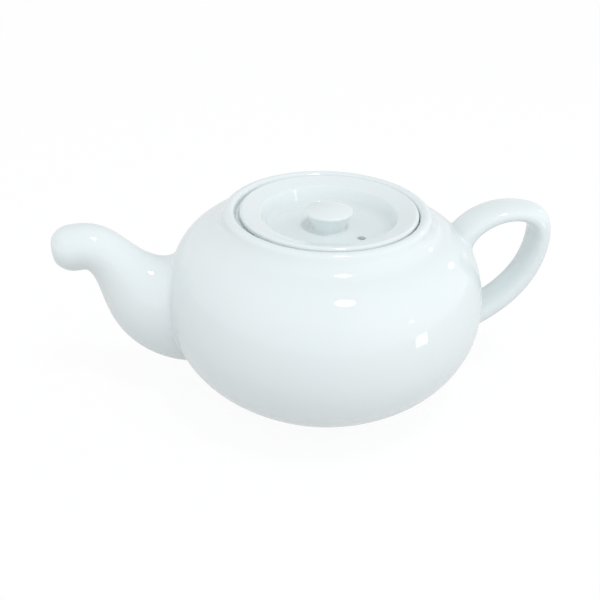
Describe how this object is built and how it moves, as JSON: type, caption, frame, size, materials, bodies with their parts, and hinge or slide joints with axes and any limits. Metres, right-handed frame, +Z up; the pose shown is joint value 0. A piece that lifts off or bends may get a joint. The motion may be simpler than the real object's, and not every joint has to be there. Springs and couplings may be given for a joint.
{
  "type": "teapot",
  "caption": "Squat round white porcelain teapot with a swan-neck spout, an ear-shaped loop handle, a raised collar and a lift-off sunken lid with a waisted knob.",
  "frame": {"origin": "on the table, at the centre of the circle that the foot ring stands on, under the middle of the pot", "axes": "+Z up, +X towards the handle, -X towards the spout"},
  "size_m": [0.1848, 0.12, 0.0788],
  "materials": {
    "glazed_porcelain": "clear gloss glaze over white porcelain"
  },
  "bodies": {
    "pot": {"pot_body": "glazed_porcelain", "spout": "glazed_porcelain", "handle": "glazed_porcelain"},
    "lid": {"lid": "glazed_porcelain", "lid_knob": "glazed_porcelain"}
  },
  "joints": [
    {"name": "lid_lift", "type": "slide", "parent": "pot", "child": "lid", "axis": [0, 0, 1], "range_m": [0, 0.06]}
  ]
}
